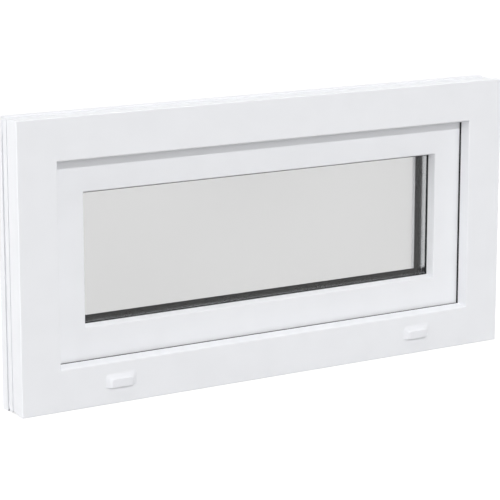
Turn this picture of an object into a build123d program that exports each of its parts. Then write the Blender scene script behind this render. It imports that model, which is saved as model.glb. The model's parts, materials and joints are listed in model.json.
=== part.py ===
from build123d import *
import os

os.makedirs("parts", exist_ok=True)

# Basement window of white uPVC: a fixed frame and a bottom-hung sash with a double glazed unit.
# X runs along the width, Y from outdoors to indoors, Z up. Sizes are in millimetres.
# The origin is under the middle of the sill, on the rear strip that the window stands on.
# A profile section is drawn as (across, depth): across counts from the outer edge of the
# frame towards the glass, depth counts from the outdoor face of the frame towards the room.

# Size of the whole frame
width = 800.0
height = 400.0

# Frame profile
frame_depth = 60.0
frame_face = 58.2
frame_reveal_run = 3.8
stop_depth = 15.0
frame_body = 42.0
frame_nose_radius = 1.2
frame_edge_radius = 1.8
back_edge_radius = 1.2

# Walls and webs of the frame and the sash
outer_wall = 2.8
web = 1.5

# Outer edge of the frame: a nose, a recessed land with two clip grooves, and a rear land
nose_depth = 14.0
edge_recess = 1.2
clip_groove_start = 27.0
clip_groove_width = 5.0
clip_groove_depth = 1.0
rear_land = 15.0

# Sash profile
sash_depth = 60.0
sash_setback = 19.4
sash_overlap = 8.0
hardware_gap = 12.0
sash_height = 72.2
sash_reveal_run = 3.0
sash_leg_gap = 3.4
glazing_stop_depth = 12.8
glazing_rebate = 21.2
sash_edge_radius = 1.6
sash_room_radius = 3.0

# Groove for the locking gear, round the edge of the sash
gear_groove_mouth = 12.0
gear_groove_lip = 3.0
gear_groove_undercut = 2.0
gear_groove_depth = 6.0
gear_groove_setback = 7.5

# Glazed unit
pane_thickness = 4.0
cavity = 16.0
glass_edge_gap = 5.0
edge_seal_height = 7.5
spacer_height = 7.5
spacer_wall = 1.2
spacer_seam_width = 2.4
spacer_seam_depth = 0.6
glass_edge_chamfer = 0.5

# Glazing bead
bead_sight = 3.8
bead_flat = 2.5
bead_slope_run = 7.0
bead_wall = 1.5
bead_radius = 5.0
bead_tip_radius = 0.8
bead_groove_setback = 4.0
bead_groove_width = 3.5
bead_groove_depth = 3.5

# Gaskets
glazing_gasket = 3.0
gasket_seat_width = 3.0
gasket_seat_depth = 3.0
gasket_fit = 0.1
gasket_bearing = 12.0
gasket_lip_run = 1.4
stop_gasket_setback = 0.2
stop_gasket_width = 6.2
stop_gasket_seat_inset = 3.6
leg_gasket_inset = 2.0
leg_gasket_width = 5.4
leg_seat_inset = 3.1

# Drain caps on the outdoor face of the sill
cap_inset = 150.0
cap_width = 48.0
cap_height = 19.0
cap_bottom = 23.6
cap_projection = 4.6
cap_side_slope = 7.5
cap_top_slope = 7.5
cap_wall = 1.4
cap_radius = 1.2
drain_slot_width = 30.0
drain_slot_height = 5.0
cap_tongue_length = 5.0
cap_fit = 0.3

# Handle in the middle of the top rail
handle_line = 68.0
rosette_length = 70.0
rosette_width = 32.0
rosette_thickness = 10.0
rosette_corner = 8.0
rosette_edge = 1.5
neck_radius = 9.0
neck_length = 26.0
lever_length = 128.0
lever_width = 22.0
lever_end_width = 18.0
lever_thickness = 13.0
lever_end_thickness = 10.0
lever_radius = 3.0
lever_corner = 7.0
lever_heel = 16.0

# Hinges under the sash, on the room side
hinge_inset = 150.0
hinge_length = 66.0
hinge_radius = 7.0
hinge_pin_radius = 3.0
hinge_axis_drop = 8.5
hinge_axis_setback = 0.5
leaf_thickness = 3.0
frame_leaf_height = 24.0
sash_leaf_height = 26.0
leaf_corner = 3.0
knuckle_gap = 0.4
pin_fit = 0.1
pin_cap = 2.0

# Places that follow from the sizes above
reveal_end = frame_face + frame_reveal_run
seat_line = frame_depth - rear_land / 2
rear_land_start = frame_depth - rear_land
second_groove_start = rear_land_start - clip_groove_width
clip_groove_floor = edge_recess + clip_groove_depth
sash_outdoor = sash_setback
sash_room = sash_outdoor + sash_depth
sash_leg = frame_body - sash_overlap
sash_edge = frame_body + hardware_gap
sash_face_end = sash_leg + sash_height
sash_sight = sash_face_end + sash_reveal_run
leg_outdoor = frame_depth + sash_leg_gap
glazing_stop = sash_outdoor + glazing_stop_depth
glazing_floor = sash_sight - glazing_rebate
glass_edge = glazing_floor + glass_edge_gap
outer_pane_face = glazing_stop + glazing_gasket
cavity_start = outer_pane_face + pane_thickness
cavity_end = cavity_start + cavity
inner_pane_face = cavity_end + pane_thickness
bead_start = inner_pane_face + glazing_gasket
bead_top = sash_sight + bead_sight
spacer_foot = glass_edge + edge_seal_height
spacer_top = spacer_foot + spacer_height
gear_groove_end = leg_outdoor - gear_groove_setback
gear_groove_start = gear_groove_end - gear_groove_mouth
bead_groove_start = bead_start + bead_groove_setback
stop_gasket_end = reveal_end - stop_gasket_setback
stop_seat_start = stop_gasket_end - stop_gasket_seat_inset - gasket_seat_width / 2
glazing_seat_start = sash_sight - gasket_bearing / 2 - gasket_seat_width
leg_seat_start = sash_leg + leg_seat_inset

cap_places = {"left": cap_inset - width / 2, "right": width / 2 - cap_inset}
hinge_places = {"left": hinge_inset - width / 2, "right": width / 2 - hinge_inset}

# How far a mitre cut reaches past the profiles on either side
mitre_margin = 10.0


def outline(*corners):
    """A flat face from its corners, in order."""
    return make_face(Polyline(*corners, close=True))


def block(across_start, across_end, depth_start, depth_end):
    """A rectangle of a section, from edge to edge."""
    middle = Pos((across_start + across_end) / 2, (depth_start + depth_end) / 2)
    return middle * Rectangle(across_end - across_start, depth_end - depth_start)


def round_corner(face, across, depth, radius):
    """Round the corner of a section that lies nearest to a place."""
    corner = face.vertices().sort_by_distance((across, depth, 0))[0]
    return fillet(corner, radius)


def undercut_groove(across_mouth, across_floor, lip, depth_start, depth_end, undercut):
    """A groove that is wider behind its lips, open towards the smaller across."""
    mouth = block(across_mouth, across_floor, depth_start, depth_end)
    behind = block(across_mouth + lip, across_floor, depth_start - undercut, depth_end + undercut)
    return mouth + behind


def frame_section():
    """The frame profile: stop, rebate, outer edge with its clip grooves, and chambers."""
    face = outline(
        (0, 0),
        (frame_face, 0),
        (reveal_end, stop_depth),
        (frame_body, stop_depth),
        (frame_body, frame_depth),
        (0, frame_depth),
    )
    face = round_corner(face, 0, 0, frame_nose_radius)
    face = round_corner(face, frame_face, 0, frame_edge_radius)
    face = round_corner(face, frame_body, frame_depth, back_edge_radius)
    face = round_corner(face, 0, frame_depth, back_edge_radius)
    face -= block(-mitre_margin, edge_recess, nose_depth, rear_land_start)
    for start in (clip_groove_start, second_groove_start):
        face -= block(0, clip_groove_floor, start, start + clip_groove_width)
    seat_end = stop_seat_start + gasket_seat_width
    face -= block(stop_seat_start, seat_end, stop_depth - gasket_seat_depth, stop_depth)

    inner_edge = frame_body - outer_wall
    front_end = clip_groove_start - web
    rear_start = rear_land_start + web
    middle_web = (front_end + rear_start) / 2
    chamber_floor = clip_groove_floor + web
    stop_back = stop_depth - gasket_seat_depth - web
    face -= block(chamber_floor, inner_edge, outer_wall, front_end)
    face -= block(inner_edge + web, frame_face - outer_wall, outer_wall, stop_back)
    face -= block(chamber_floor, inner_edge, front_end + web, middle_web - web / 2)
    face -= block(chamber_floor, inner_edge, middle_web + web / 2, rear_start - web)
    face -= block(outer_wall, inner_edge, rear_start, frame_depth - outer_wall)
    return face


def sash_section():
    """The sash profile: outdoor face, glazing rebate, overlap leg, gear groove and chambers."""
    face = outline(
        (sash_edge, sash_outdoor),
        (sash_face_end, sash_outdoor),
        (sash_sight, glazing_stop),
        (glazing_floor, glazing_stop),
        (glazing_floor, sash_room),
        (sash_leg, sash_room),
        (sash_leg, leg_outdoor),
        (sash_edge, leg_outdoor),
    )
    face = round_corner(face, sash_face_end, sash_outdoor, sash_edge_radius)
    face = round_corner(face, sash_leg, sash_room, sash_room_radius)
    face = round_corner(face, sash_leg, leg_outdoor, back_edge_radius)
    face -= undercut_groove(
        sash_edge,
        sash_edge + gear_groove_depth,
        gear_groove_lip,
        gear_groove_start,
        gear_groove_end,
        gear_groove_undercut,
    )
    face -= block(
        glazing_floor - bead_groove_depth,
        glazing_floor,
        bead_groove_start,
        bead_groove_start + bead_groove_width,
    )
    face -= block(
        glazing_seat_start,
        glazing_seat_start + gasket_seat_width,
        glazing_stop - gasket_seat_depth,
        glazing_stop,
    )
    face -= block(
        leg_seat_start,
        leg_seat_start + gasket_seat_width,
        leg_outdoor,
        leg_outdoor + gasket_seat_depth,
    )

    inner_edge = glazing_floor - outer_wall
    front_start = sash_outdoor + outer_wall
    gear_floor = sash_edge + gear_groove_depth + outer_wall
    rear_start = leg_outdoor - web
    room_end = sash_room - outer_wall
    leg_end = sash_edge - web
    leg_start = leg_outdoor + gasket_seat_depth + web
    stop_back = glazing_stop - gasket_seat_depth - web
    bead_floor = glazing_floor - bead_groove_depth - web
    face -= block(sash_edge + outer_wall, inner_edge, front_start, glazing_stop - web)
    face -= block(inner_edge + web, sash_face_end - outer_wall, front_start, stop_back)
    face -= block(gear_floor, inner_edge, glazing_stop, rear_start - web)
    face -= block(sash_edge, bead_floor, rear_start, room_end)
    face -= block(sash_leg + outer_wall, leg_end, leg_start, room_end)
    return face


def bead_section():
    """The glazing bead: a hollow wedge with a foot that clips into the sash."""
    slope_start = bead_start + bead_flat
    slope_end = bead_top - bead_slope_run
    face = outline(
        (glazing_floor, bead_start),
        (bead_top, bead_start),
        (bead_top, slope_start),
        (slope_end, sash_room),
        (glazing_floor, sash_room),
    )
    face = round_corner(face, slope_end, sash_room, bead_radius)
    face = round_corner(face, bead_top, slope_start, bead_tip_radius)
    hollow = offset(face, amount=-bead_wall, kind=Kind.INTERSECTION)
    foot = block(
        glazing_floor - bead_groove_depth + gasket_fit,
        glazing_floor,
        bead_groove_start + gasket_fit,
        bead_groove_start + bead_groove_width - gasket_fit,
    )
    return face - hollow + foot


def stop_gasket_section():
    """The dark seal between the stop of the frame and the outdoor face of the sash."""
    start = stop_gasket_end - stop_gasket_width
    lip = block(start, stop_gasket_end, stop_depth, sash_outdoor)
    lip = round_corner(lip, stop_gasket_end, stop_depth, gasket_lip_run)
    foot = block(
        stop_seat_start + gasket_fit,
        stop_seat_start + gasket_seat_width - gasket_fit,
        stop_depth - gasket_seat_depth + gasket_fit,
        stop_depth,
    )
    return lip + foot


def leg_gasket_section():
    """The seal under the overlap leg of the sash, against the room face of the frame."""
    start = sash_leg + leg_gasket_inset
    lip = block(start, start + leg_gasket_width, frame_depth, leg_outdoor)
    lip = round_corner(lip, start, frame_depth, gasket_lip_run)
    foot = block(
        leg_seat_start + gasket_fit,
        leg_seat_start + gasket_seat_width - gasket_fit,
        leg_outdoor,
        leg_outdoor + gasket_seat_depth - gasket_fit,
    )
    return lip + foot


def outer_glazing_gasket_section():
    """The outdoor glazing seal: a lip that widens onto the glass and a foot in the stop."""
    lip = outline(
        (sash_sight - gasket_bearing, glazing_stop),
        (sash_sight, glazing_stop),
        (sash_sight + gasket_lip_run, outer_pane_face),
        (sash_sight - gasket_bearing, outer_pane_face),
    )
    foot = block(
        glazing_seat_start + gasket_fit,
        glazing_seat_start + gasket_seat_width - gasket_fit,
        glazing_stop - gasket_seat_depth + gasket_fit,
        glazing_stop,
    )
    return lip + foot


def bead_gasket_section():
    """The room-side glazing seal on the bead, a lip that widens onto the glass."""
    return outline(
        (bead_top - gasket_bearing, inner_pane_face),
        (bead_top + gasket_lip_run, inner_pane_face),
        (bead_top, bead_start),
        (bead_top - gasket_bearing, bead_start),
    )


def spacer_section():
    """The hollow spacer bar between the panes, with the seam that faces the cavity."""
    tube = block(spacer_foot, spacer_top, cavity_start, cavity_end)
    middle = (cavity_start + cavity_end) / 2
    tube -= block(
        spacer_top - spacer_seam_depth,
        spacer_top,
        middle - spacer_seam_width / 2,
        middle + spacer_seam_width / 2,
    )
    hollow = block(
        spacer_foot + spacer_wall,
        spacer_top - spacer_wall,
        cavity_start + spacer_wall,
        cavity_end - spacer_wall,
    )
    return tube - hollow


def edge_seal_section():
    """The sealant that fills the edge of the glazed unit, outside the spacer."""
    return block(glass_edge, spacer_foot, cavity_start, cavity_end)


def side_plane(side):
    """Where a section starts on one side, with across inwards and depth indoors."""
    outdoor = -seat_line
    places = {
        "bottom": ((width / 2, outdoor, 0), (0, 0, 1), (-1, 0, 0)),
        "top": ((-width / 2, outdoor, height), (0, 0, -1), (1, 0, 0)),
        "left": ((-width / 2, outdoor, 0), (1, 0, 0), (0, 0, 1)),
        "right": ((width / 2, outdoor, height), (-1, 0, 0), (0, 0, -1)),
    }
    start, inwards, along = places[side]
    return Plane(origin=start, x_dir=inwards, z_dir=along)


def side_length(side):
    """Length of the frame along one side."""
    return width if side in ("bottom", "top") else height


def mitred_bar(side, section):
    """A section run along one side, both ends cut on the mitre from the frame's corners."""
    plane = side_plane(side)
    length = side_length(side)
    bar = extrude(plane * section, amount=length, dir=plane.z_dir)
    reach = bead_top + mitre_margin
    low = -mitre_margin
    wedge_face = outline(
        (low, -low),
        (reach, -reach),
        (reach, reach - length),
        (low, low - length),
    )
    cut_plane = Plane(origin=plane.origin, x_dir=plane.x_dir, z_dir=(0, 1, 0))
    cut_plane = cut_plane.offset(low)
    wedge = extrude(cut_plane * wedge_face, amount=sash_room + 2 * mitre_margin, dir=(0, 1, 0))
    return bar & wedge


def ring(section):
    """A section that runs on round all four sides as one piece."""
    pieces = [mitred_bar(side, section) for side in ("bottom", "left", "top", "right")]
    whole = pieces[0]
    for piece in pieces[1:]:
        whole = whole + piece
    return whole.clean()


def pane(depth_start):
    """A sheet of glass with its sharp edges ground off."""
    sheet = Box(width - 2 * glass_edge, pane_thickness, height - 2 * glass_edge)
    sheet = chamfer(sheet.edges(), glass_edge_chamfer)
    return Pos(0, depth_start + pane_thickness / 2 - seat_line, height / 2) * sheet


def drain_slot(middle):
    """The slot through the front wall of the sill that lets water out."""
    level = cap_bottom + cap_wall + drain_slot_height / 2
    depth = outer_wall + web
    slot = Box(drain_slot_width, depth, drain_slot_height)
    return Pos(middle, depth / 2 - web - seat_line, level) * slot


def hood_block(breadth, rise, projection):
    """A low block on the outdoor face whose two sides and top slope back to that face."""
    side_profile = Plane.YZ.offset(-breadth / 2) * outline(
        (0, 0),
        (-projection, 0),
        (-projection, rise - cap_top_slope),
        (0, rise),
    )
    plan = outline(
        (-breadth / 2, 0),
        (breadth / 2, 0),
        (breadth / 2 - cap_side_slope, -projection),
        (cap_side_slope - breadth / 2, -projection),
    )
    return extrude(side_profile, amount=breadth, dir=(1, 0, 0)) & extrude(
        plan, amount=rise, dir=(0, 0, 1)
    )


def drain_cap(middle):
    """A hollow hood over a drain slot, open underneath, with a tongue into the slot."""
    hood = hood_block(cap_width, cap_height, cap_projection)
    outside = hood.faces().sort_by(Axis.Y)[0].edges().filter_by_position(
        Axis.Z, cap_radius, cap_height
    )
    hips = hood.edges().filter_by_position(Axis.Y, -cap_projection, -cap_radius)
    hood = fillet(outside + hips, cap_radius)
    room = hood_block(
        cap_width - 4 * cap_wall, cap_height - 2 * cap_wall, cap_projection - cap_wall
    )
    hood -= room
    hood = Pos(middle, -seat_line, cap_bottom) * hood

    level = cap_bottom + cap_wall + drain_slot_height - cap_wall / 2 - cap_fit
    length = cap_tongue_length + cap_projection - cap_wall
    tongue = Box(drain_slot_width - 2 * cap_fit, length, cap_wall)
    tongue_middle = cap_tongue_length - length / 2 - seat_line
    return hood + Pos(middle, tongue_middle, level) * tongue


def rosette():
    """The base of the handle, screwed to the room face of the top rail."""
    base = Plane(
        origin=(0, sash_room - seat_line, height - handle_line), x_dir=(-1, 0, 0), z_dir=(0, 1, 0)
    )
    outer = base * RectangleRounded(rosette_length, rosette_width, rosette_corner)
    body = extrude(outer, amount=rosette_thickness)
    rim = body.faces().sort_by(Axis.Y)[-1].edges()
    return fillet(rim, rosette_edge)


def lever():
    """The handle: a neck out of the rosette and a tapering grip along the rail."""
    level = height - handle_line
    start = sash_room - seat_line + rosette_thickness
    grip_back = start + neck_length - lever_thickness
    neck_plane = Plane(origin=(0, start, level), x_dir=(-1, 0, 0), z_dir=(0, 1, 0))
    neck = extrude(neck_plane * Circle(neck_radius), amount=neck_length - lever_thickness / 2)
    tip = lever_length - lever_heel
    plan = outline(
        (-lever_heel, -lever_width / 2),
        (tip, -lever_end_width / 2),
        (tip, lever_end_width / 2),
        (-lever_heel, lever_width / 2),
    )
    plan = fillet(plan.vertices(), lever_corner)
    back = Plane(origin=(0, grip_back, level), x_dir=(1, 0, 0), z_dir=(0, 1, 0))
    grip = extrude(back * plan, amount=lever_thickness)
    slope = outline(
        (-lever_heel, grip_back + lever_thickness),
        (tip, grip_back + lever_end_thickness),
        (tip, grip_back + lever_thickness),
    )
    low = Plane.XY.offset(level - lever_width)
    grip -= extrude(low * slope, amount=2 * lever_width, dir=(0, 0, 1))
    faces = grip.faces().sort_by(Axis.Y)
    grip = fillet(faces[0].edges() + faces[-1].edges(), lever_radius)
    return neck + grip


def knuckle(start, end, radius):
    """A round stretch of a hinge, from one X to another."""
    across = sash_leg - hinge_axis_drop
    depth = sash_room - hinge_axis_setback - seat_line
    place = Plane(origin=(start, depth, across), x_dir=(0, 1, 0), z_dir=(1, 0, 0))
    return extrude(place * Circle(radius), amount=end - start)


def hinge(middle):
    """One hinge as two leaves: the frame leaf carries the pin, the sash leaf turns on it."""
    start = middle - hinge_length / 2
    end = middle + hinge_length / 2
    axis_level = sash_leg - hinge_axis_drop
    axis_depth = sash_room - hinge_axis_setback - seat_line
    frame_room = frame_depth - seat_line
    room = sash_room - seat_line

    frame_plate = Box(hinge_length / 2 - knuckle_gap, leaf_thickness, frame_leaf_height)
    lower_corners = frame_plate.edges().filter_by(Axis.Y).sort_by(Axis.Z)[:2]
    frame_plate = fillet(lower_corners, leaf_corner)
    plate_top = axis_level + hinge_radius - leaf_thickness
    frame_middle = start + (hinge_length / 2 - knuckle_gap) / 2
    frame_leaf = Pos(
        frame_middle, frame_room + leaf_thickness / 2, plate_top - frame_leaf_height / 2
    ) * frame_plate
    arm_length = axis_depth - frame_room
    arm = Box(hinge_length / 2 - knuckle_gap, arm_length, hinge_radius)
    frame_leaf += Pos(frame_middle, frame_room + arm_length / 2, axis_level) * arm
    frame_leaf += knuckle(start, middle - knuckle_gap, hinge_radius)
    frame_leaf += knuckle(middle - knuckle_gap, end + pin_cap / 2, hinge_pin_radius)

    sash_plate = Box(hinge_length / 2, leaf_thickness, sash_leaf_height)
    upper_corners = sash_plate.edges().filter_by(Axis.Y).sort_by(Axis.Z)[-2:]
    sash_plate = fillet(upper_corners, leaf_corner)
    sash_middle = middle + hinge_length / 4
    sash_leaf = Pos(
        sash_middle, room + leaf_thickness / 2, axis_level + sash_leaf_height / 2
    ) * sash_plate
    sash_leaf += knuckle(middle, end, hinge_radius)
    sash_leaf -= knuckle(middle - knuckle_gap, end + pin_cap, hinge_pin_radius + pin_fit)
    return frame_leaf, sash_leaf


def write(name, shape):
    """Keep one piece under its own name."""
    shape.label = name
    export_step(shape, os.path.join("parts", name + ".step"))


bar_names = {
    "bottom": ("frame_sill", "sash_bottom_rail", "bead_bottom"),
    "top": ("frame_head", "sash_top_rail", "bead_top"),
    "left": ("frame_jamb_left", "sash_stile_left", "bead_left"),
    "right": ("frame_jamb_right", "sash_stile_right", "bead_right"),
}

frame_profile = frame_section()
sash_profile = sash_section()
bead_profile = bead_section()
for side, (frame_name, sash_name, bead_name) in bar_names.items():
    frame_bar = mitred_bar(side, frame_profile)
    if side == "bottom":
        for middle in cap_places.values():
            frame_bar -= drain_slot(middle)
    write(frame_name, frame_bar)
    write(sash_name, mitred_bar(side, sash_profile))
    write(bead_name, mitred_bar(side, bead_profile))

write("stop_gasket", ring(stop_gasket_section()))
write("overlap_gasket", ring(leg_gasket_section()))
write("outer_glazing_gasket", ring(outer_glazing_gasket_section()))
write("bead_gasket", ring(bead_gasket_section()))
write("spacer_bar", ring(spacer_section()))
write("edge_seal", ring(edge_seal_section()))
write("outer_pane", pane(outer_pane_face))
write("inner_pane", pane(cavity_end))

for name, middle in cap_places.items():
    write("drain_cap_" + name, drain_cap(middle))

write("handle_rosette", rosette())
write("handle_lever", lever())

for name, middle in hinge_places.items():
    frame_leaf, sash_leaf = hinge(middle)
    write("hinge_" + name + "_frame_leaf", frame_leaf)
    write("hinge_" + name + "_sash_leaf", sash_leaf)
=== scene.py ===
# %% [markdown]
# A white plastic basement window, seen from outdoors and a little above. A fixed frame holds a
# sash that opens into the cellar, and the sash holds a double glazed unit.
# The solid parts come ready from the CAD model, which is loaded as a fixed frame. This lesson
# gives them their finishes, models the small parts by hand, and sets up the camera and lights.

# %% Load the window
import json
import math

import bpy
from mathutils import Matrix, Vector


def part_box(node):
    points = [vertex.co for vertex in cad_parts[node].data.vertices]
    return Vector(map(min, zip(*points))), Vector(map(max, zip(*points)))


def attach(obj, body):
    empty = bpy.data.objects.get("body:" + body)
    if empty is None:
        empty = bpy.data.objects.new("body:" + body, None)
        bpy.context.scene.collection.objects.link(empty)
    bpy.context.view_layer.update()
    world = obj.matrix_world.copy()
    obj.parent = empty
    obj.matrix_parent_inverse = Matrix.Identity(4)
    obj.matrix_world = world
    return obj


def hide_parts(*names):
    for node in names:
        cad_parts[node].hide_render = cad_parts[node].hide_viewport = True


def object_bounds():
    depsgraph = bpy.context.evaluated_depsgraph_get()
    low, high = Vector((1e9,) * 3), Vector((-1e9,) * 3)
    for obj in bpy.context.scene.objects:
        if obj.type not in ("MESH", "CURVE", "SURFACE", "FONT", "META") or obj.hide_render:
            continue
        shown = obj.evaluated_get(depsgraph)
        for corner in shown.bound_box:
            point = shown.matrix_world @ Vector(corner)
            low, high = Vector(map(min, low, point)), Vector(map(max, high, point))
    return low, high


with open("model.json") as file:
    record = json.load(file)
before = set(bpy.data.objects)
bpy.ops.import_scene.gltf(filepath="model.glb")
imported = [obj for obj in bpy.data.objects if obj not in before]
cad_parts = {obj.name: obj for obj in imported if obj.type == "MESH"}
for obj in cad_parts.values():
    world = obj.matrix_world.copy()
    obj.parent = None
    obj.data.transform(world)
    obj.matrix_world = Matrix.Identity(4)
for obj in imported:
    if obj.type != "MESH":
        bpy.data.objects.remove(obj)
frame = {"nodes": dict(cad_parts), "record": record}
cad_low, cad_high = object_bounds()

MM = 0.001
print("CAD nodes:", len(frame["nodes"]))
print("size in mm:", [round(v / MM, 1) for v in cad_high - cad_low])

# %% [markdown]
# Everything is placed from the CAD nodes, so a later change of size carries over. The window
# stands on the floor, its outdoor face looks towards -Y and its room side towards +Y.

# %% Measure the window
frame_low = Vector((cad_low.x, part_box("frame_sill")[0].y, cad_low.z))
frame_high = Vector((cad_high.x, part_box("frame_sill")[1].y, cad_high.z))
middle_height = (frame_low.z + frame_high.z) / 2
sash_room_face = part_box("sash_top_rail")[1].y
print("outdoor face at", round(frame_low.y / MM, 1), "mm")
print("room face of the sash at", round(sash_room_face / MM, 1), "mm")

# %% [markdown]
# The photograph was taken from the left, about 32 degrees round from straight in front, and from
# a little above. The edges of the frame tell how far away the camera stood: far, with a long
# lens, because the lines run together only a little. A long lens is also what a shop uses,
# because it keeps the frame's proportions honest. The photographer also kept the upright lines
# upright, which takes a shifted lens. This camera has none, so that other views stay centred.

# %% Place the camera
VIEW_TURN = math.radians(32.18)
VIEW_PITCH = math.radians(11.99)
CAMERA_PLACE = (-1.5890, -2.5101, 0.8062)
SENSOR = 36.0
FOCAL_PIXELS = 2119.6
FRAME_PIXELS = 500
NEAREST = 0.05
FARTHEST = 100

camera_data = bpy.data.cameras.new("photo_camera")
camera_data.sensor_width = SENSOR
camera_data.lens = SENSOR * FOCAL_PIXELS / FRAME_PIXELS
camera_data.clip_start = NEAREST
camera_data.clip_end = FARTHEST
camera = bpy.data.objects.new("photo_camera", camera_data)
camera.location = CAMERA_PLACE
looking = Vector((
    math.sin(VIEW_TURN) * math.cos(VIEW_PITCH),
    math.cos(VIEW_TURN) * math.cos(VIEW_PITCH),
    -math.sin(VIEW_PITCH),
))
camera.rotation_euler = looking.to_track_quat("-Z", "Y").to_euler()
bpy.context.scene.collection.objects.link(camera)
bpy.context.scene.camera = camera
bpy.context.scene.view_settings.view_transform = "Standard"
print("lens", round(camera_data.lens, 1), "mm, camera at", [round(v, 3) for v in camera.location])

# %% [markdown]
# Colours are written as on a paint chart, as sRGB hex values. Shaders count in linear light, so
# one function turns the first into the second. A second function adds a node with its options,
# its values, its links and, where it is a colour ramp, its two tones. That keeps each material
# short enough to read.

# %% Colour and node helpers
TONE_ENDS = (0.3, 0.7)


def linear(hex_colour):
    """A colour such as "e6e7eb" as linear red, green, blue and alpha."""
    channels = [int(hex_colour[i:i + 2], 16) / 255 for i in (0, 2, 4)]
    return tuple(c / 12.92 if c <= 0.04045 else ((c + 0.055) / 1.055) ** 2.4 for c in channels) + (1.0,)


def add_node(tree, kind, options=None, values=None, links=None, tones=()):
    """Add a node, set its options, the values of its inputs and its tones, and link its inputs."""
    node = tree.nodes.new("ShaderNode" + kind)
    for name, value in (options or {}).items():
        setattr(node, name, value)
    for name, value in (values or {}).items():
        node.inputs[name].default_value = value
    for name, socket in (links or {}).items():
        tree.links.new(socket, node.inputs[name])
    for number, tone in enumerate(tones):
        node.color_ramp.elements[number].position = TONE_ENDS[number]
        node.color_ramp.elements[number].color = linear(tone)
    return node


def new_material(name):
    """An empty node material, with its node tree and the place on the object, in metres."""
    material = bpy.data.materials.new(name)
    material.use_nodes = True
    tree = material.node_tree
    tree.nodes.clear()
    return material, tree, add_node(tree, "TexCoord").outputs["Object"]


print("linear value of e6e7eb:", [round(c, 3) for c in linear("e6e7eb")])

# %% [markdown]
# Nearly every surface of a window is one skin, whose colour and gloss change a little from place
# to place and which has fine relief. One could build each from scratch, but then they differ by
# accident. So one function makes a skin from patterns: the colour goes from one tone to the other
# as its pattern rises, the roughness from one value to the other, and relief is laid on relief,
# each as deep as the real one.

# %% A skin that follows patterns
def skin(tree, values, tones, roughness=None, relief=()):
    """A shader with fixed values. Tones and roughness are a pattern and what it runs between,
    and relief is a list of patterns with their depths in millimetres."""
    pattern, dark, light = tones
    colour = add_node(tree, "ValToRGB", links={"Fac": pattern}, tones=(dark, light))
    links = {"Base Color": colour.outputs["Color"]}
    if roughness:
        pattern, low, high = roughness
        spread = add_node(
            tree, "MapRange", values={"To Min": low, "To Max": high}, links={"Value": pattern}
        )
        links["Roughness"] = spread.outputs["Result"]
    below = {}
    for pattern, depth_mm in relief:
        dents = add_node(
            tree,
            "Bump",
            values={"Strength": 1.0, "Distance": depth_mm * MM},
            links={"Height": pattern, **below},
        )
        below = {"Normal": dents.outputs["Normal"]}
    return add_node(tree, "BsdfPrincipled", values=values, links={**links, **below}).outputs["BSDF"]


print("tones run over pattern values", TONE_ENDS)

# %% [markdown]
# The frame and the sash are white uPVC, coloured right through and pushed hot through a steel
# die. The die leaves a smooth skin with a low gloss, and very faint lines along the bar. A
# plain white shader would look like paper. Here the pattern is a noise that is stretched along
# the bar, so each bar gets its lines in its own direction, and two materials are needed: one for
# the bars that lie and one for the bars that stand. Real die lines are some 0.2 mm apart, which
# is too fine to show, so they are drawn 1.6 mm apart.

# %% White uPVC, extruded
DIE_LINE_MM = 1.6
DIE_LINE_LENGTH_MM = 700
WAVE_MM = 45


def extruded_upvc(name, along):
    """White uPVC with a satin die skin; along is the axis that the bar was extruded on."""
    material, tree, place = new_material(name)
    scale = [1 / (DIE_LINE_MM * MM)] * 3
    scale[along] = 1 / (DIE_LINE_LENGTH_MM * MM)
    stretched = add_node(tree, "Mapping", values={"Scale": scale}, links={"Vector": place})
    lines = add_node(
        tree,
        "TexNoise",
        values={"Scale": 1.0, "Detail": 2.0},
        links={"Vector": stretched.outputs["Vector"]},
    ).outputs["Fac"]
    waves = add_node(
        tree, "TexNoise", values={"Scale": 1 / (WAVE_MM * MM), "Detail": 1.0}, links={"Vector": place}
    ).outputs["Fac"]
    satin = skin(
        tree,
        values={"IOR": 1.53, "Specular IOR Level": 0.35},
        tones=(waves, "ecedf0", "eeeff2"),
        roughness=(lines, 0.42, 0.5),
        relief=((lines, 0.004), (waves, 0.015)),
    )
    add_node(tree, "OutputMaterial", links={"Surface": satin})
    return material


upvc_lying = extruded_upvc("upvc_extruded_lying", along=0)
upvc_standing = extruded_upvc("upvc_extruded_standing", along=2)
print("uPVC with die lines", DIE_LINE_MM, "mm apart")

# %% [markdown]
# The two drain caps on the sill are moulded, not extruded. Their mould was spark-eroded, which
# leaves a fine even grain and a duller skin than that of the bars beside them. The collar of the
# handle is moulded in the same way.

# %% White moulding, with a spark-eroded grain
GRAIN_MM = 0.6

white_moulding, tree, place = new_material("moulded_asa_fine_grain")
grain = add_node(
    tree, "TexNoise", values={"Scale": 1 / (GRAIN_MM * MM), "Detail": 2.0}, links={"Vector": place}
).outputs["Fac"]
moulded = skin(
    tree,
    values={"IOR": 1.52},
    tones=(grain, "e5e6ea", "e9eaed"),
    roughness=(grain, 0.42, 0.52),
    relief=((grain, 0.012),),
)
add_node(tree, "OutputMaterial", links={"Surface": moulded})
print("grain", GRAIN_MM, "mm")

# %% [markdown]
# The seals are black synthetic rubber. Rubber is never quite black: it has a dull skin, a little
# bloom that lightens it in patches, and hardly any highlight. The patches are a slow noise in the
# colour and the dullness is a high roughness.

# %% Black sealing rubber
BLOOM_MM = 18
RUBBER_GRAIN_MM = 0.5

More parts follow.
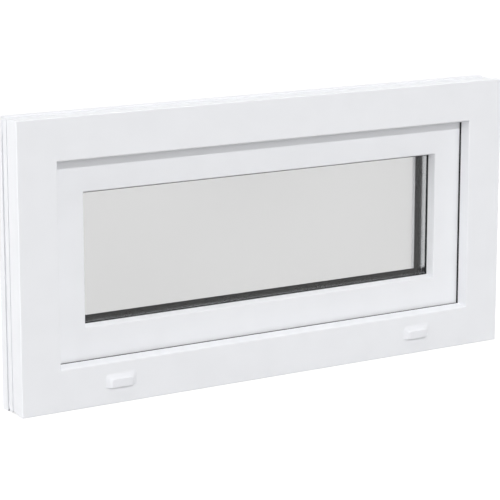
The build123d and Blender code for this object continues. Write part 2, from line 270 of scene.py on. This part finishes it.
black_rubber, tree, place = new_material("epdm_rubber_seal")
bloom = add_node(
    tree, "TexNoise", values={"Scale": 1 / (BLOOM_MM * MM), "Detail": 3.0}, links={"Vector": place}
).outputs["Fac"]
pores = add_node(
    tree, "TexNoise", values={"Scale": 1 / (RUBBER_GRAIN_MM * MM), "Detail": 1.0}, links={"Vector": place}
).outputs["Fac"]
rubber = skin(
    tree,
    values={"IOR": 1.5, "Specular IOR Level": 0.35},
    tones=(bloom, "141517", "1c1d1f"),
    roughness=(bloom, 0.55, 0.7),
    relief=((pores, 0.01),),
)
add_node(tree, "OutputMaterial", links={"Surface": rubber})
print("rubber bloom", BLOOM_MM, "mm")

# %% [markdown]
# The panes are float glass, drawn flat on molten tin, so they are almost perfectly smooth. Only a
# very long, very shallow wave is left, which is seen in reflections. The glass in the photograph
# is a light neutral grey, so the tint is grey too, and it counts once for each pane. Bare glass
# has an IOR of 1.52, but its reflections would veil the black rubber behind it more than the
# photograph shows. So the value is matched to the photograph, at 1.38, the IOR of the coat that
# is put on glass to keep it from mirroring. Lamps light what is behind a pane without being
# bent: for shadow rays the pane is a plain tint.

# %% Float glass, lightly tinted
FLOAT_WAVE_MM = 220
COAT_IOR = 1.38


def seen_by(tree, *kinds):
    """1 for light rays of the given kinds, and 0 for all others."""
    rays = add_node(tree, "LightPath").outputs
    answer = rays[kinds[0]]
    for kind in kinds[1:]:
        either = {0: answer, 1: rays[kind]}
        answer = add_node(tree, "Math", options={"operation": "MAXIMUM"}, links=either).outputs["Value"]
    return answer


float_glass, tree, place = new_material("float_glass_grey")
float_wave = add_node(
    tree, "TexNoise", values={"Scale": 1 / (FLOAT_WAVE_MM * MM), "Detail": 0.0}, links={"Vector": place}
).outputs["Fac"]
clear = skin(
    tree,
    values={"IOR": COAT_IOR, "Roughness": 0.0, "Transmission Weight": 1.0},
    tones=(float_wave, "e9e9e9", "ebebeb"),
    relief=((float_wave, 0.02),),
)
plain_tint = add_node(tree, "BsdfTransparent", values={"Color": linear("eaeaea")}).outputs["BSDF"]
pane = add_node(
    tree, "MixShader", links={0: seen_by(tree, "Is Shadow Ray"), 1: clear, 2: plain_tint}
)
add_node(tree, "OutputMaterial", links={"Surface": pane.outputs["Shader"]})
print("float wave", FLOAT_WAVE_MM, "mm")

# %% [markdown]
# Between the panes runs a spacer, a hollow bar of bare rolled aluminium. Rolling leaves fine
# lines along it. Bare metal has no colour beside that of its reflections: metallic is 1, and
# the base colour tints what it mirrors. It is rolled bright, so the bar under the glass mirrors
# the black seal behind it, and the bar at the side mirrors the light.

# %% Spacer aluminium
ROLL_LINE_MM = 0.8
ROLL_LINE_LENGTH_MM = 300

spacer_metal, tree, place = new_material("aluminium_rolled")
roll_scale = [1 / (size * MM) for size in (ROLL_LINE_LENGTH_MM, ROLL_LINE_MM, ROLL_LINE_LENGTH_MM)]
stretched = add_node(tree, "Mapping", values={"Scale": roll_scale}, links={"Vector": place})
roll_lines = add_node(
    tree, "TexNoise", values={"Scale": 1.0, "Detail": 2.0}, links={"Vector": stretched.outputs["Vector"]}
).outputs["Fac"]
bright_metal = skin(
    tree,
    values={"Metallic": 1.0},
    tones=(roll_lines, "e2e4e6", "ecedef"),
    roughness=(roll_lines, 0.2, 0.28),
    relief=((roll_lines, 0.01),),
)
add_node(tree, "OutputMaterial", links={"Surface": bright_metal})
print("roll lines", ROLL_LINE_MM, "mm apart")

# %% [markdown]
# Outside the spacer the unit is filled with a dark grey polysulphide, trowelled in, so it is dull
# and slightly uneven.

# %% Edge sealant
SEALANT_LUMP_MM = 4

sealant, tree, place = new_material("polysulphide_sealant")
lumps = add_node(
    tree, "TexNoise", values={"Scale": 1 / (SEALANT_LUMP_MM * MM), "Detail": 3.0}, links={"Vector": place}
).outputs["Fac"]
paste = skin(
    tree,
    values={"IOR": 1.5},
    tones=(lumps, "2c2d2f", "3a3b3d"),
    roughness=(lumps, 0.6, 0.8),
    relief=((lumps, 0.2),),
)
add_node(tree, "OutputMaterial", links={"Surface": paste})
print("sealant lumps", SEALANT_LUMP_MM, "mm")

# %% [markdown]
# The handle and the hinges are metal under white powder coat. The powder melts into a thick skin
# with the shallow dimples that painters call orange peel, about 2 mm across. The handle is
# sprayed finer than the hinges, so one function makes both, with its own dimple size and gloss.

# %% White powder coat
def powder_coat(name, peel_mm, low_roughness, high_roughness):
    """White powder coat on metal, with orange peel of the given size."""
    material, tree, place = new_material(name)
    peel = add_node(
        tree, "TexNoise", values={"Scale": 1 / (peel_mm * MM), "Detail": 1.0}, links={"Vector": place}
    ).outputs["Fac"]
    coat = skin(
        tree,
        values={"IOR": 1.5},
        tones=(peel, "e6e7ea", "ebecee"),
        roughness=(peel, low_roughness, high_roughness),
        relief=((peel, 0.02),),
    )
    add_node(tree, "OutputMaterial", links={"Surface": coat})
    return material


handle_coat = powder_coat("powder_coat_handle", peel_mm=2.0, low_roughness=0.26, high_roughness=0.34)
hinge_coat = powder_coat("powder_coat_hinge", peel_mm=2.6, low_roughness=0.34, high_roughness=0.44)
print("powder coats:", handle_coat.name, hinge_coat.name)

# %% [markdown]
# Each CAD node keeps its shape and gets its finish. Bars that stand take the upright uPVC, the
# rest follows from the slot that the record gives the node.

# %% Dress the CAD nodes
slot_finish = {
    "white_moulding": white_moulding,
    "black_gasket": black_rubber,
    "clear_glass": float_glass,
    "spacer_aluminium": spacer_metal,
    "edge_sealant": sealant,
    "handle_white": handle_coat,
    "hinge_white": hinge_coat,
}
node_slot = {entry["node"]: entry["material_slot"] for entry in frame["record"]["subparts"]}


def dress(piece, material):
    """Give a piece one finish."""
    piece.data.materials.clear()
    piece.data.materials.append(material)


for name, node in frame["nodes"].items():
    low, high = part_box(name)
    upvc = upvc_standing if high.z - low.z > high.x - low.x else upvc_lying
    dress(node, slot_finish.get(node_slot[name], upvc))
print("dressed", len(frame["nodes"]), "nodes")

# %% [markdown]
# The next cells model small parts by hand, with Blender's own edit mode tools. The tools act on
# all that is selected, so each step first selects the faces or edges that it needs, by where they
# lie and where they point. What is less than CLOSE away counts as lying there, and a face counts
# as pointing along an axis when its normal is more than FACING along it.

# %% Helpers for edit mode
import bmesh

CLOSE = MM / 4
FACING = 0.9


def begin(name):
    """Name the new primitive and open it in edit mode with nothing selected."""
    piece = bpy.context.object
    piece.name = name
    bpy.ops.object.transform_apply(location=True, rotation=True, scale=True)
    bpy.ops.object.mode_set(mode="EDIT")
    bpy.ops.mesh.select_mode(type="FACE")
    bpy.ops.mesh.select_all(action="DESELECT")
    return piece


def select_faces(piece, wanted):
    """Select the faces whose middle and normal pass a test."""
    bpy.ops.mesh.select_mode(type="FACE")
    bpy.ops.mesh.select_all(action="DESELECT")
    mesh = bmesh.from_edit_mesh(piece.data)
    for face in mesh.faces:
        face.select_set(wanted(face.calc_center_median(), face.normal))
    bmesh.update_edit_mesh(piece.data)


def select_edges(piece, wanted):
    """Select the edges whose two ends pass a test."""
    bpy.ops.mesh.select_mode(type="EDGE")
    bpy.ops.mesh.select_all(action="DESELECT")
    mesh = bmesh.from_edit_mesh(piece.data)
    for edge in mesh.edges:
        edge.select_set(wanted(edge.verts[0].co, edge.verts[1].co))
    bmesh.update_edit_mesh(piece.data)


print("edges and faces are found to", CLOSE / MM, "mm")

# %% [markdown]
# Back in object mode a part gets its modifiers, its smooth shading and its copies. A finished
# part carries its place in its mesh, as the CAD nodes do, so a copy's move goes into its mesh
# too. Handing it over dresses it and fixes it to the window, which has no moving parts.

# %% Helpers for object mode
def only(piece):
    """Select one piece alone, in object mode, and make it the active one."""
    if bpy.context.object and bpy.context.object.mode != "OBJECT":
        bpy.ops.object.mode_set(mode="OBJECT")
    bpy.ops.object.select_all(action="DESELECT")
    piece.select_set(True)
    bpy.context.view_layer.objects.active = piece


def use_modifier(piece, kind, **settings):
    """Add a modifier with its settings and apply it at once."""
    only(piece)
    modifier = piece.modifiers.new(kind.lower(), kind)
    for name, value in settings.items():
        setattr(modifier, name, value)
    bpy.ops.object.modifier_apply(modifier=modifier.name)


def smooth(piece, degrees):
    """Smooth shading, with edges sharper than some degrees left crisp."""
    only(piece)
    bpy.ops.object.shade_smooth_by_angle(angle=math.radians(degrees))


def copy_to(piece, name, offset):
    """A copy with its own mesh, moved by an offset that goes into the mesh."""
    only(piece)
    bpy.ops.object.duplicate(linked=False)
    twin = bpy.context.object
    twin.name = name
    bpy.ops.transform.translate(value=offset)
    bpy.ops.object.transform_apply(location=True, rotation=True, scale=True)
    return twin


def hand_over(piece, material):
    """Dress a finished piece, and let it ride with the window."""
    dress(piece, material)
    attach(piece, "root")


print("helpers for edit mode and object mode are ready")

# %% [markdown]
# A drain cap is a little moulded hood over a slot in the sill: rain that gets into the frame runs
# out under it, and wind can't blow in. Its edges flare out softly onto the frame and turn steep
# at the rim of its flat front. One could draw a profile and sweep it, but the hood has corners.
# So a block is cut into slices along its depth, and each slice is drawn in by what the flare asks
# for. The corners are rounded then, the back and the underside opened, and a wall is added.

# %% Shape of a drain cap
CAP_WALL = 1.4 * MM
CAP_FLARE = 7.5 * MM
CAP_CORNER = 3.6 * MM
CAP_RIM = 0.7 * MM
CAP_SLICES = 6
FLARE_STRAIGHT = 0.3

cap_low, cap_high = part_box("drain_cap_left")
cap_middle = (cap_low.x + cap_high.x) / 2
cap_width = cap_high.x - cap_low.x
cap_height = cap_high.z - cap_low.z
cap_projection = frame_low.y - cap_low.y


def drawn_in(share):
    """How much of the flare is used up at a share of the way from the frame to the front."""
    return FLARE_STRAIGHT * share + (1 - FLARE_STRAIGHT) * (1 - (1 - share) ** 2)


print("drain cap in mm:", [round(v / MM, 1) for v in (cap_width, cap_height, cap_projection)])

# %% Model the hood
bpy.ops.object.select_all(action="DESELECT")
bpy.ops.mesh.primitive_cube_add(
    size=1,
    location=(cap_middle, frame_low.y - cap_projection / 2, (cap_low.z + cap_high.z) / 2),
    scale=(cap_width, cap_projection, cap_height),
)
cap = begin("drain_cap_left_hood")
for number in range(1, CAP_SLICES):
    level = frame_low.y - cap_projection * number / CAP_SLICES
    bpy.ops.mesh.select_all(action="SELECT")
    bpy.ops.mesh.bisect(plane_co=(cap_middle, level, 0), plane_no=(0, 1, 0))
for number in range(1, CAP_SLICES + 1):
    share = number / CAP_SLICES
    level = frame_low.y - cap_projection * share
    select_edges(cap, lambda a, b: abs(a.y - level) < CLOSE and abs(b.y - level) < CLOSE)
    shrink = CAP_FLARE * drawn_in(share)
    bpy.ops.transform.resize(
        value=(1 - 2 * shrink / cap_width, 1, 1 - shrink / cap_height),
        center_override=(cap_middle, level, cap_low.z),
    )
print("slices:", CAP_SLICES, "faces:", len(bmesh.from_edit_mesh(cap.data).faces))

# %% Round, open and thicken the hood
def is_hip(a, b):
    """True for the edges of the two upper corners, which run from the frame to the front."""
    above = min(a.z, b.z) > cap_low.z + cap_height / 3
    return above and abs(a.y - b.y) > cap_projection / CAP_SLICES / 2


select_edges(cap, is_hip)
bpy.ops.mesh.bevel(offset=CAP_CORNER, segments=4, affect="EDGES")
select_faces(cap, lambda middle, normal: normal.y > FACING or normal.z < -FACING)
bpy.ops.mesh.delete(type="FACE")
select_edges(
    cap,
    lambda a, b: max(a.y, b.y) < cap_low.y + CLOSE and max(a.z, b.z) > cap_low.z + CAP_RIM,
)
bpy.ops.mesh.bevel(offset=CAP_RIM, segments=3, affect="EDGES")
use_modifier(cap, "SOLIDIFY", thickness=CAP_WALL, offset=-1, use_even_offset=True)
smooth(cap, degrees=40)
print("hood has", len(cap.data.polygons), "faces")

# %% [markdown]
# Under the hood a tongue reaches through the slot and clips the cap in place. It is a plain strip
# with a chamfered nose, so that it can be pushed in. It becomes part of the cap, and the finished
# cap is copied to the other place.

# %% Tongue of the cap, and the second cap
TONGUE_WIDTH = 29.4 * MM
TONGUE_LEVEL = 4.0 * MM
TONGUE_CHAMFER = 0.5 * MM

tongue_length = cap_high.y - cap_low.y - CAP_WALL / 2
bpy.ops.object.select_all(action="DESELECT")
bpy.ops.mesh.primitive_cube_add(
    size=1,
    location=(cap_middle, cap_high.y - tongue_length / 2, cap_low.z + TONGUE_LEVEL + CAP_WALL / 2),
    scale=(TONGUE_WIDTH, tongue_length, CAP_WALL),
)
tongue = begin("cap_tongue")
select_edges(tongue, lambda a, b: min(a.y, b.y) > cap_high.y - CAP_WALL / 2)
bpy.ops.mesh.bevel(offset=TONGUE_CHAMFER, segments=1, affect="EDGES")
only(tongue)
cap.select_set(True)
bpy.context.view_layer.objects.active = cap
bpy.ops.object.join()
other_cap = copy_to(cap, "drain_cap_right_hood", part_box("drain_cap_right")[0] - cap_low)
for piece, node in ((cap, "drain_cap_left"), (other_cap, "drain_cap_right")):
    hand_over(piece, white_moulding)
    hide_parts(node)
caps_apart = other_cap.data.vertices[0].co.x - cap.data.vertices[0].co.x
print("left cap at x =", round(cap_middle / MM), "mm, the other", round(caps_apart / MM), "mm further")

# %% [markdown]
# The handle is on the room side. A real one is cast in zinc: a round neck flares out of the base
# plate and flows into a grip that gets narrower towards its end and is soft all over. Such a flow
# is what subdivision is for, so a coarse cage is drawn first: a block for the heel, faces pulled
# out of it for the grip and for the neck, and each new end made a little smaller.

# %% Cage of the lever
LEVER_THICKNESS = 13.0 * MM
LEVER_TIP_WIDTH = 18.0 * MM
GRIP_STEPS = 4

lever_low, lever_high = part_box("handle_lever")
rosette_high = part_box("handle_rosette")[1]
handle_level = (lever_low.z + lever_high.z) / 2
lever_width = lever_high.z - lever_low.z
heel_length = -lever_low.x * 2
grip_back = lever_high.y - LEVER_THICKNESS
grip_step = (lever_high.x - heel_length / 2) / GRIP_STEPS

bpy.ops.object.select_all(action="DESELECT")
bpy.ops.mesh.primitive_cube_add(
    size=1,
    location=(0, lever_high.y - LEVER_THICKNESS / 2, handle_level),
    scale=(heel_length, LEVER_THICKNESS, lever_width),
)
lever = begin("handle_lever_cast")
for number in range(GRIP_STEPS):
    end = heel_length / 2 + grip_step * number
    select_faces(lever, lambda middle, normal: normal.x > FACING and abs(middle.x - end) < MM)
    bpy.ops.mesh.extrude_region_move(TRANSFORM_OT_translate={"value": (grip_step, 0, 0)})
    width = lever_width + (LEVER_TIP_WIDTH - lever_width) * (number + 1) / GRIP_STEPS
    before = lever_width + (LEVER_TIP_WIDTH - lever_width) * number / GRIP_STEPS
    bpy.ops.transform.resize(value=(1, 1, width / before))
print("grip in", GRIP_STEPS, "steps of", round(grip_step / MM, 1), "mm")

# %% [markdown]
# The neck is pulled out of the heel's back in three steps, each a share of the way to the base
# plate: it narrows, runs straight, and flares. Its start is inset a little more than its radius
# asks, which leaves a soft rim around it. Subdivision would round everything off, so creases
# hold the flat foot fully and the outline of the grip by half.

# %% Neck, soft edges and skin of the lever
NECK_RADIUS = 9.0 * MM
NECK_INSET = 1.06
NECK_REACHES = (0.35, 0.4, 0.25)
NECK_WIDENINGS = (0.92, 1.0, 1.22)
FOOT_CREASE = 1.0
RIM_CREASE = 0.55

neck_reach = grip_back - rosette_high.y
select_faces(lever, lambda middle, normal: normal.y < -FACING and abs(middle.x) < heel_length / 2)
bpy.ops.mesh.inset(thickness=(lever_width - 2 * NECK_RADIUS) / 2 * NECK_INSET, depth=0)
bpy.ops.transform.resize(value=(2 * NECK_RADIUS / (heel_length - lever_width + 2 * NECK_RADIUS), 1, 1))
for reach, widening in zip(NECK_REACHES, NECK_WIDENINGS):
    bpy.ops.mesh.extrude_region_move(TRANSFORM_OT_translate={"value": (0, -neck_reach * reach, 0)})
    bpy.ops.transform.resize(value=(widening, 1, widening))
select_edges(lever, lambda a, b: max(a.y, b.y) < rosette_high.y + CLOSE)
bpy.ops.transform.edge_crease(value=FOOT_CREASE)
select_edges(lever, lambda a, b: min(a.y, b.y) > grip_back - CLOSE and abs(a.y - b.y) < CLOSE)
bpy.ops.transform.edge_crease(value=RIM_CREASE)
use_modifier(lever, "SUBSURF", levels=3, render_levels=3)
smooth(lever, degrees=60)
hand_over(lever, handle_coat)
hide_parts("handle_lever")
print("lever has", len(lever.data.polygons), "faces")

# %% [markdown]
# Where the neck turns in the base plate sits a thin plastic collar, which takes the play out of
# the handle. It is a ring with a rounded lip: a disc is drawn, raised, inset and sunk, and its
# edges are rounded.

# %% Collar of the handle
COLLAR_RADIUS = 13.0 * MM
COLLAR_HEIGHT = 1.6 * MM
COLLAR_LIP = 2.2 * MM
ROUND_STEPS = 48

bpy.ops.object.select_all(action="DESELECT")
bpy.ops.mesh.primitive_circle_add(
    vertices=ROUND_STEPS, radius=COLLAR_RADIUS, fill_type="NGON",
    location=(0, rosette_high.y, handle_level), rotation=(-math.pi / 2, 0, 0),
)
collar = begin("handle_collar")
bpy.ops.mesh.select_all(action="SELECT")
bpy.ops.mesh.extrude_region_move(TRANSFORM_OT_translate={"value": (0, COLLAR_HEIGHT, 0)})
bpy.ops.mesh.inset(thickness=COLLAR_LIP, depth=0)
bpy.ops.mesh.extrude_region_move(TRANSFORM_OT_translate={"value": (0, -COLLAR_HEIGHT / 2, 0)})
bpy.ops.mesh.select_all(action="SELECT")
bpy.ops.mesh.normals_make_consistent(inside=False)
select_edges(collar, lambda a, b: min(a.y, b.y) > rosette_high.y + COLLAR_HEIGHT - CLOSE)
bpy.ops.mesh.bevel(offset=COLLAR_HEIGHT / 4, segments=3, affect="EDGES")
smooth(collar, degrees=40)
hand_over(collar, white_moulding)
print("collar has", len(collar.data.polygons), "faces")

# %% [markdown]
# Each hinge leaf is held by two screws with low domed heads and a cross in them. The head is
# turned: a disc is raised and its rim rounded. The cross is stamped, so it is cut out with two
# bars as a boolean. All screws are copies of one.

# %% One screw
SCREW_RADIUS = 3.7 * MM
SCREW_HEIGHT = 1.1 * MM
SCREW_ROUNDING = 0.77 * MM
CROSS_LENGTH = 4.2 * MM
CROSS_WIDTH = 1.1 * MM
CROSS_DEPTH = 0.7 * MM
LEAF_THICKNESS = 3.0 * MM
SCREW_SPREAD = 9.0 * MM
FRAME_SCREW_RISE = 7.0 * MM
SASH_SCREW_DROP = 9.0 * MM

leaf_low, leaf_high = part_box("hinge_left_frame_leaf")
plate_middle = leaf_low.x + (leaf_high.x - leaf_low.x) / 4
first_place = Vector((
    plate_middle - SCREW_SPREAD, frame_high.y + LEAF_THICKNESS, leaf_low.z + FRAME_SCREW_RISE
))
bpy.ops.object.select_all(action="DESELECT")
bpy.ops.mesh.primitive_circle_add(
    vertices=ROUND_STEPS, radius=SCREW_RADIUS, fill_type="NGON",
    location=first_place, rotation=(-math.pi / 2, 0, 0),
)
screw = begin("hinge_screw_1")
bpy.ops.mesh.select_all(action="SELECT")
bpy.ops.mesh.extrude_region_move(TRANSFORM_OT_translate={"value": (0, SCREW_HEIGHT, 0)})
bpy.ops.mesh.select_all(action="SELECT")
bpy.ops.mesh.normals_make_consistent(inside=False)
select_edges(screw, lambda a, b: min(a.y, b.y) > first_place.y + SCREW_HEIGHT / 2)
bpy.ops.mesh.bevel(offset=SCREW_ROUNDING, segments=4, affect="EDGES")
only(screw)
for length, width in ((CROSS_LENGTH, CROSS_WIDTH), (CROSS_WIDTH, CROSS_LENGTH)):
    bpy.ops.object.select_all(action="DESELECT")
    bpy.ops.mesh.primitive_cube_add(
        size=1, location=first_place + Vector((0, SCREW_HEIGHT, 0)),
        scale=(length, 2 * CROSS_DEPTH, width),
    )
    cutter = bpy.context.object
    use_modifier(screw, "BOOLEAN", object=cutter, operation="DIFFERENCE", solver="EXACT")
    bpy.data.objects.remove(cutter)
smooth(screw, degrees=40)
print("screw has", len(screw.data.polygons), "faces")

# %% The other screws
screw_places = []
for side in ("left", "right"):
    low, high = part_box("hinge_" + side + "_frame_leaf")
    middle = low.x + (high.x - low.x) / 4
    for step in (-SCREW_SPREAD, SCREW_SPREAD):
        screw_places.append((middle + step, frame_high.y + LEAF_THICKNESS, low.z + FRAME_SCREW_RISE))
    low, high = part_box("hinge_" + side + "_sash_leaf")
    middle = (low.x + high.x) / 2
    for step in (-SCREW_SPREAD, SCREW_SPREAD):
        screw_places.append((middle + step, sash_room_face + LEAF_THICKNESS, high.z - SASH_SCREW_DROP))
for number, spot in enumerate(screw_places[1:], start=2):
    twin = copy_to(screw, "hinge_screw_" + str(number), Vector(spot) - first_place)
    hand_over(twin, hinge_coat)
hand_over(screw, hinge_coat)
print(len(screw_places), "screws")

# %% [markdown]
# The hinge pins end in pressed-on caps, shallow domes that keep dust out of the knuckle. A disc
# is raised in steps, and each step is a little narrower, so that the rim follows a circle.

# %% Caps of the hinge pins
PIN_CAP_RADIUS = 5.0 * MM
PIN_CAP_HEIGHT = 2.2 * MM
DOME_STEPS = 5
KNUCKLE_RADIUS = 7.0 * MM

axis_low, axis_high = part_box("hinge_left_sash_leaf")
axis = Vector((axis_high.x, axis_high.y - KNUCKLE_RADIUS, axis_low.z + KNUCKLE_RADIUS))
bpy.ops.object.select_all(action="DESELECT")
bpy.ops.mesh.primitive_circle_add(
    vertices=ROUND_STEPS, radius=PIN_CAP_RADIUS, fill_type="NGON",
    location=axis, rotation=(0, math.pi / 2, 0),
)
pin_cap = begin("hinge_pin_cap_left")
bpy.ops.mesh.select_all(action="SELECT")
turn = math.pi / 2 / (DOME_STEPS + 1)
for number in range(DOME_STEPS):
    rise = PIN_CAP_HEIGHT * (math.sin(turn * (number + 1)) - math.sin(turn * number))
    shrink = math.cos(turn * (number + 1)) / math.cos(turn * number)
    bpy.ops.mesh.extrude_region_move(TRANSFORM_OT_translate={"value": (rise, 0, 0)})
    bpy.ops.transform.resize(value=(1, shrink, shrink), center_override=axis)
bpy.ops.mesh.select_all(action="SELECT")
bpy.ops.mesh.normals_make_consistent(inside=False)
smooth(pin_cap, degrees=50)
other_pin_cap = copy_to(pin_cap, "hinge_pin_cap_right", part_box("hinge_right_sash_leaf")[0] - axis_low)
for piece in (pin_cap, other_pin_cap):
    hand_over(piece, hinge_coat)
print("hinge axis at", [round(v / MM, 1) for v in axis], "mm")

# %% [markdown]
# The studio: a pale floor in a white surround. Camera rays see white, and so do the rays that
# glass and gloss send out, so the background is even all round. The light that the surround
# sends to the window is set apart from that, at the level where its white plastic comes out as
# the photograph shows it, just under white.

# %% Surround
SURROUND_LIGHT = 0.29
PURE_WHITE = (1, 1, 1, 1)

world = bpy.data.worlds.new("white_surround")
bpy.context.scene.world = world
world.use_nodes = True
tree = world.node_tree
tree.nodes.clear()

seen = seen_by(tree, "Is Camera Ray", "Is Glossy Ray", "Is Transmission Ray")
lighting = add_node(tree, "Background", values={"Color": PURE_WHITE, "Strength": SURROUND_LIGHT})
backdrop = add_node(tree, "Background", values={"Color": PURE_WHITE, "Strength": 1.0})
surround = add_node(
    tree,
    "MixShader",
    links={0: seen, 1: lighting.outputs["Background"], 2: backdrop.outputs["Background"]},
)
add_node(tree, "OutputWorld", links={"Surface": surround.outputs["Shader"]})
print("surround lights the window at", SURROUND_LIGHT)

# %% [markdown]
# The floor is a roll of studio paper, felted from short fibres, so its tone is a fine noise. The
# camera and gloss see it with a glow on top, which lifts it to white and leaves only the shadow
# of the window on it. Through the glass it is plain white, as the surround is.

# %% Floor
FLOOR_WIDTH = 30.0
PAPER_FIBRE_MM = 25
FLOOR_GLOW = 0.7

floor_paper, tree, place = new_material("studio_paper")
fibres = add_node(
    tree, "TexNoise", values={"Scale": 1 / (PAPER_FIBRE_MM * MM), "Detail": 2.0}, links={"Vector": place}
).outputs["Fac"]
paper_tone = add_node(tree, "ValToRGB", links={"Fac": fibres}, tones=("b0b0b0", "b4b4b4"))
paper = add_node(tree, "BsdfDiffuse", links={"Color": paper_tone.outputs["Color"]}).outputs["BSDF"]
glow = add_node(tree, "Emission", values={"Color": PURE_WHITE, "Strength": FLOOR_GLOW})
lifted = add_node(tree, "AddShader", links={0: paper, 1: glow.outputs["Emission"]})
plain_white = add_node(tree, "Emission", values={"Color": PURE_WHITE, "Strength": 1.0})
near_look = add_node(
    tree,
    "MixShader",
    links={
        0: seen_by(tree, "Is Camera Ray", "Is Glossy Ray"),
        1: paper,
        2: lifted.outputs["Shader"],
    },
)
whole_look = add_node(
    tree,
    "MixShader",
    links={
        0: seen_by(tree, "Is Transmission Ray"),
        1: near_look.outputs["Shader"],
        2: plain_white.outputs["Emission"],
    },
)
add_node(tree, "OutputMaterial", links={"Surface": whole_look.outputs["Shader"]})

bpy.ops.object.select_all(action="DESELECT")
bpy.ops.mesh.primitive_plane_add(size=FLOOR_WIDTH, location=(0, 0, 0))
floor = bpy.context.object
floor.name = "studio_floor"
dress(floor, floor_paper)
print("floor", FLOOR_WIDTH, "m wide")

# %% [markdown]
# Shadows tell where the lamps stood. Under the head of the frame a clear shadow falls on the
# sash, about 14 mm below the edge, and it is as deep at the left as at the right: so one fairly
# small key lamp stood straight in front, 37 degrees up. The shadow is pale, so a large soft lamp
# in front fills it. The outer edges at the left and the top are brighter than the face, so two
# more soft lamps stand on the left and overhead. The photograph doesn't show the right end and
# the room side, and the last two lamps keep those as pale as the rest. A soft lamp would burn
# out any face that mirrors it, so only the key lamp is seen in reflections.

# %% Lamps
KEY_HEIGHT = math.radians(37)
LAMP_DISTANCE = 4.0
aim = Vector((0, 0, middle_height))


def aimed_lamp(name, direction, width, strength, mirrored=False):
    """A far lamp that looks at the middle of the window and seems that many degrees wide."""
    data = bpy.data.lights.new(name, "SUN")
    data.energy = strength
    data.angle = math.radians(width)
    lamp = bpy.data.objects.new(name, data)
    lamp.location = aim + Vector(direction).normalized() * LAMP_DISTANCE
    lamp.rotation_euler = (aim - lamp.location).to_track_quat("-Z", "Y").to_euler()
    lamp.visible_glossy = mirrored
    bpy.context.scene.collection.objects.link(lamp)


key_direction = (0, -math.cos(KEY_HEIGHT), math.sin(KEY_HEIGHT))
aimed_lamp("key_lamp", key_direction, width=3, strength=1.22, mirrored=True)
aimed_lamp("front_softbox", (0, -1, 0.08), width=40, strength=0.93)
aimed_lamp("left_softbox", (-1, 0.025, 0.1), width=22, strength=2.4)
aimed_lamp("overhead_softbox", (0, -0.05, 1), width=40, strength=0.95)
aimed_lamp("room_softbox", (0.3, 1, 0.06), width=12, strength=1.7)
aimed_lamp("right_softbox", (1, 0.15, 0.05), width=20, strength=1.7)
